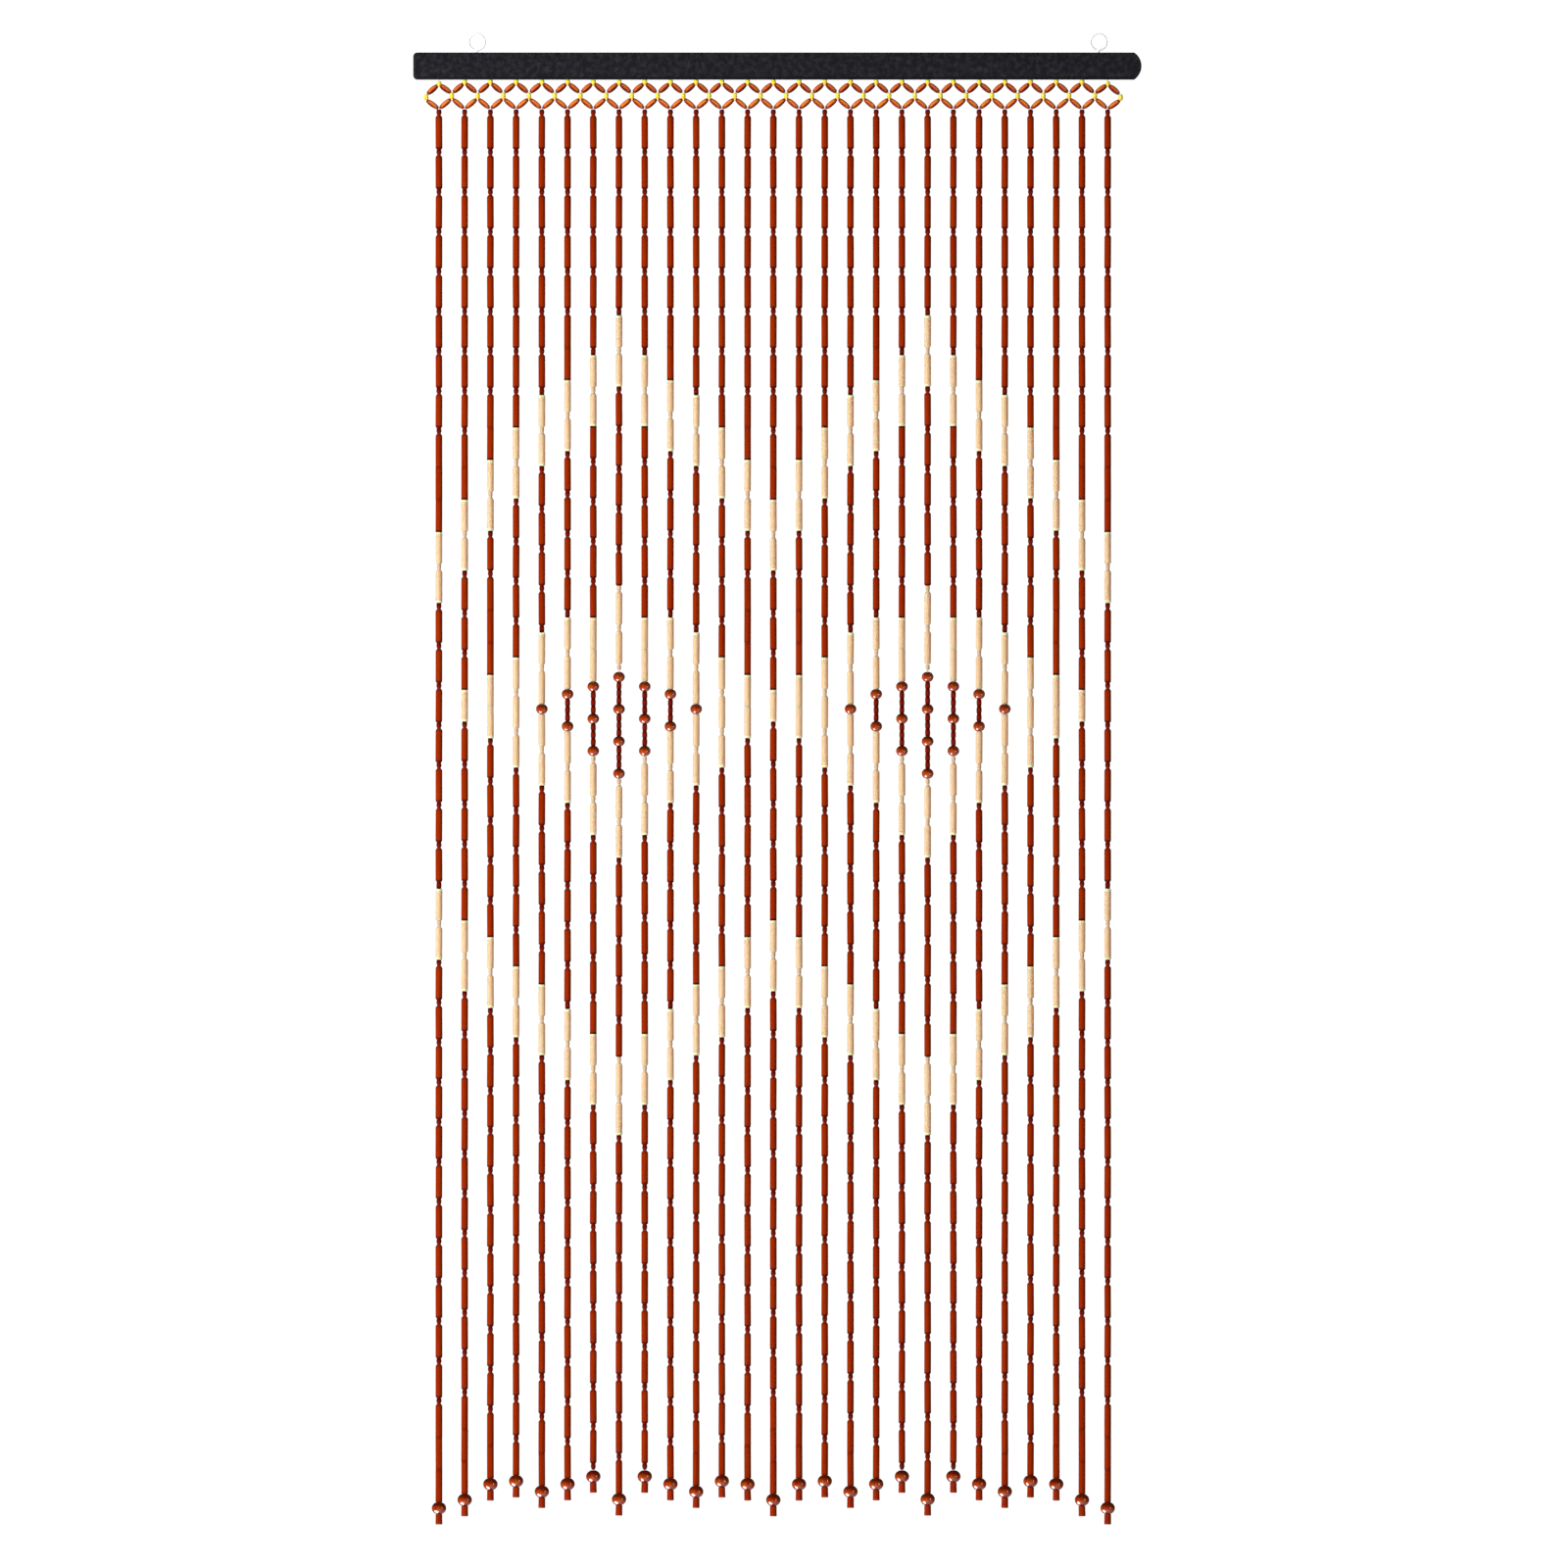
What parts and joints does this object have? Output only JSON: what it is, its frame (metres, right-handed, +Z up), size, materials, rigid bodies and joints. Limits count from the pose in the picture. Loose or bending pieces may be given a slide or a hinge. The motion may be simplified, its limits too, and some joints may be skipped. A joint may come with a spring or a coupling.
{
  "type": "bead curtain with hanging bar",
  "caption": "Doorway bead curtain: a dark wooden bar with screw eyes, a net of oval beads under it, and strings of wooden tube beads with ball ends.",
  "frame": {"origin": "midway between the two screw eyes, at the height where a hook bears inside their rings and in the bar's middle plane", "axes": "+X along the bar, to the right from the front; -Y towards the front; +Z up"},
  "size_m": [0.9, 0.017, 1.8432],
  "materials": {
    "black_wood": "black stain, satin, faintly scuffed",
    "steel_wire": "bright zinc plate",
    "red_wood": "red-brown stain under satin lacquer",
    "pale_wood": "natural, satin lacquer",
    "ball_wood": "red-brown stain under gloss lacquer",
    "oval_wood": "orange-brown stain under gloss lacquer",
    "yellow_bead": "glossy",
    "thread": "clear nylon thread"
  },
  "bodies": {
    "root": {"top_bar": "black_wood", "screw_eye_left": "steel_wire", "screw_eye_right": "steel_wire", "bead_net": "red_wood"}
  },
  "joints": []
}
